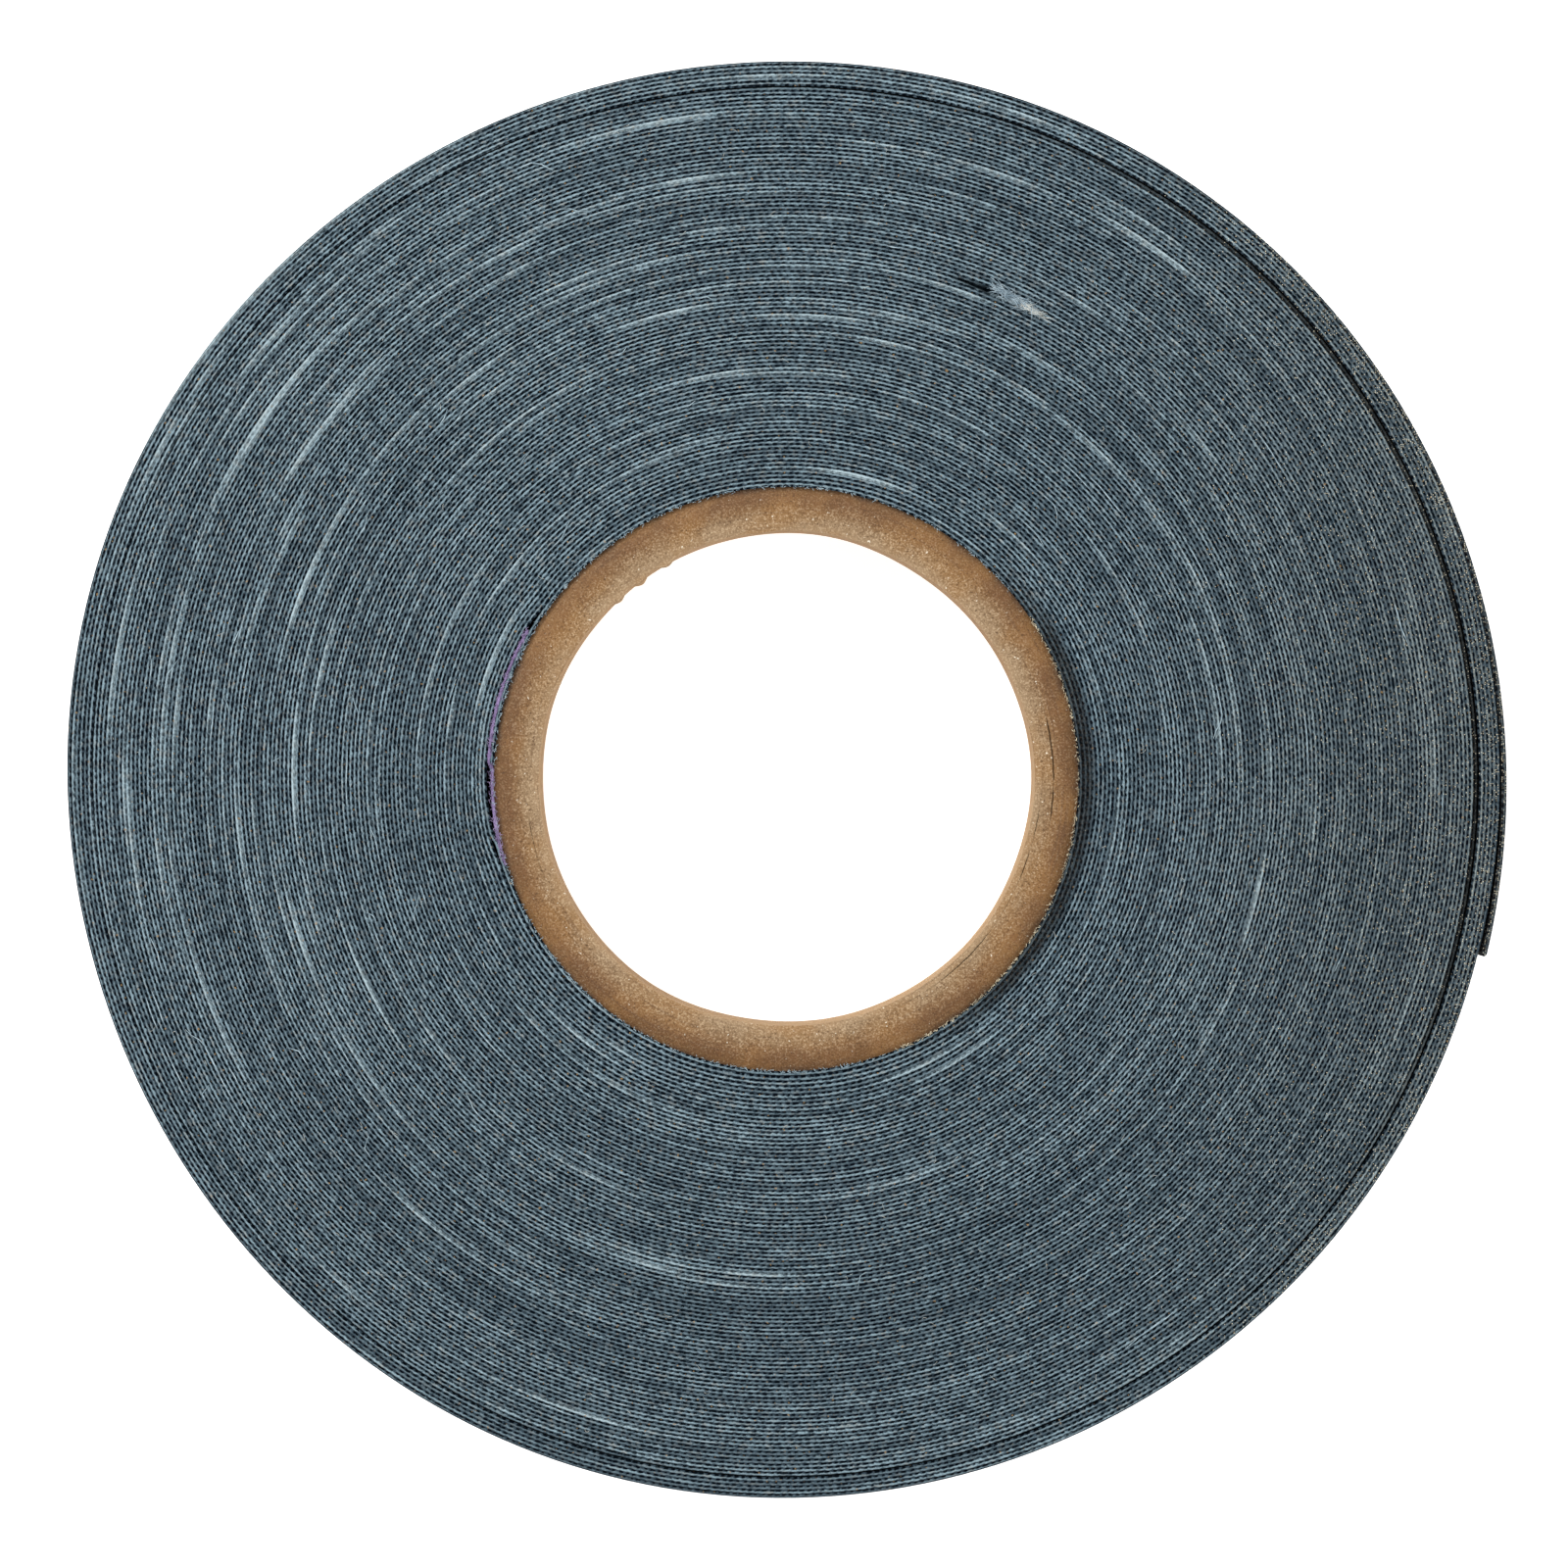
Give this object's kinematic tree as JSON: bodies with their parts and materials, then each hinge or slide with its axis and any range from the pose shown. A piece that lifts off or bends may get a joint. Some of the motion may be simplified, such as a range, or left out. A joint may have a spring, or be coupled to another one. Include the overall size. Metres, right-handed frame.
{
  "type": "grip tape roll",
  "caption": "Roll of woven cloth grip tape wound in a tight flat spiral on a wound paper core, with the tape's free end lifting off the outside so that it can be peeled.",
  "frame": {"origin": "on the core's axis, in the plane of the face that the roll rests on", "axes": "+Z along the core's axis, up through the roll as it lies flat; +X towards the free end of the tape"},
  "size_m": [0.1105, 0.1102, 0.024],
  "materials": {
    "core_paper_light": "matt kraft paper, light tan",
    "core_paper": "matt grey-brown pressed paper, cut edge",
    "core_paper_dark": "smooth orange-brown paper, burnished by the knife",
    "starter_tab": "fuzzy purple fibre strip",
    "tape_edge": "cut edge of black cloth tape, blue-grey threads between black adhesive lines",
    "tape_cloth": "black plain-woven cotton, waxed"
  },
  "bodies": {
    "roll": {"core_inner_liner": "core_paper_light", "core_ply_2": "core_paper", "core_ply_3": "core_paper", "core_ply_4": "core_paper", "core_ply_5": "core_paper", "core_ply_6": "core_paper", "core_outer_ply": "core_paper_dark", "starter_tab": "starter_tab", "tape_tight_turns": "tape_edge", "tape_outer_turns": "tape_edge"},
    "tail_1": {"tape_end_1": "tape_cloth"},
    "tail_2": {"tape_end_2": "tape_cloth"},
    "tail_3": {"tape_end_3": "tape_cloth"},
    "tail_4": {"tape_end_4": "tape_cloth"}
  },
  "joints": [
    {"name": "tail_peel_1", "type": "hinge", "parent": "roll", "child": "tail_1", "pos_m": [0.05188, 0.01867, 0.012], "axis": [0, 0, 1], "range_deg": [0, 45]},
    {"name": "tail_peel_2", "type": "hinge", "parent": "tail_1", "child": "tail_2", "pos_m": [0.05411, 0.01068, 0.012], "axis": [0, 0, 1], "range_deg": [0, 45]},
    {"name": "tail_peel_3", "type": "hinge", "parent": "tail_2", "child": "tail_3", "pos_m": [0.05514, 0.00246, 0.012], "axis": [0, 0, 1], "range_deg": [0, 45]},
    {"name": "tail_peel_4", "type": "hinge", "parent": "tail_3", "child": "tail_4", "pos_m": [0.05496, -0.00584, 0.012], "axis": [0, 0, 1], "range_deg": [0, 45]}
  ]
}
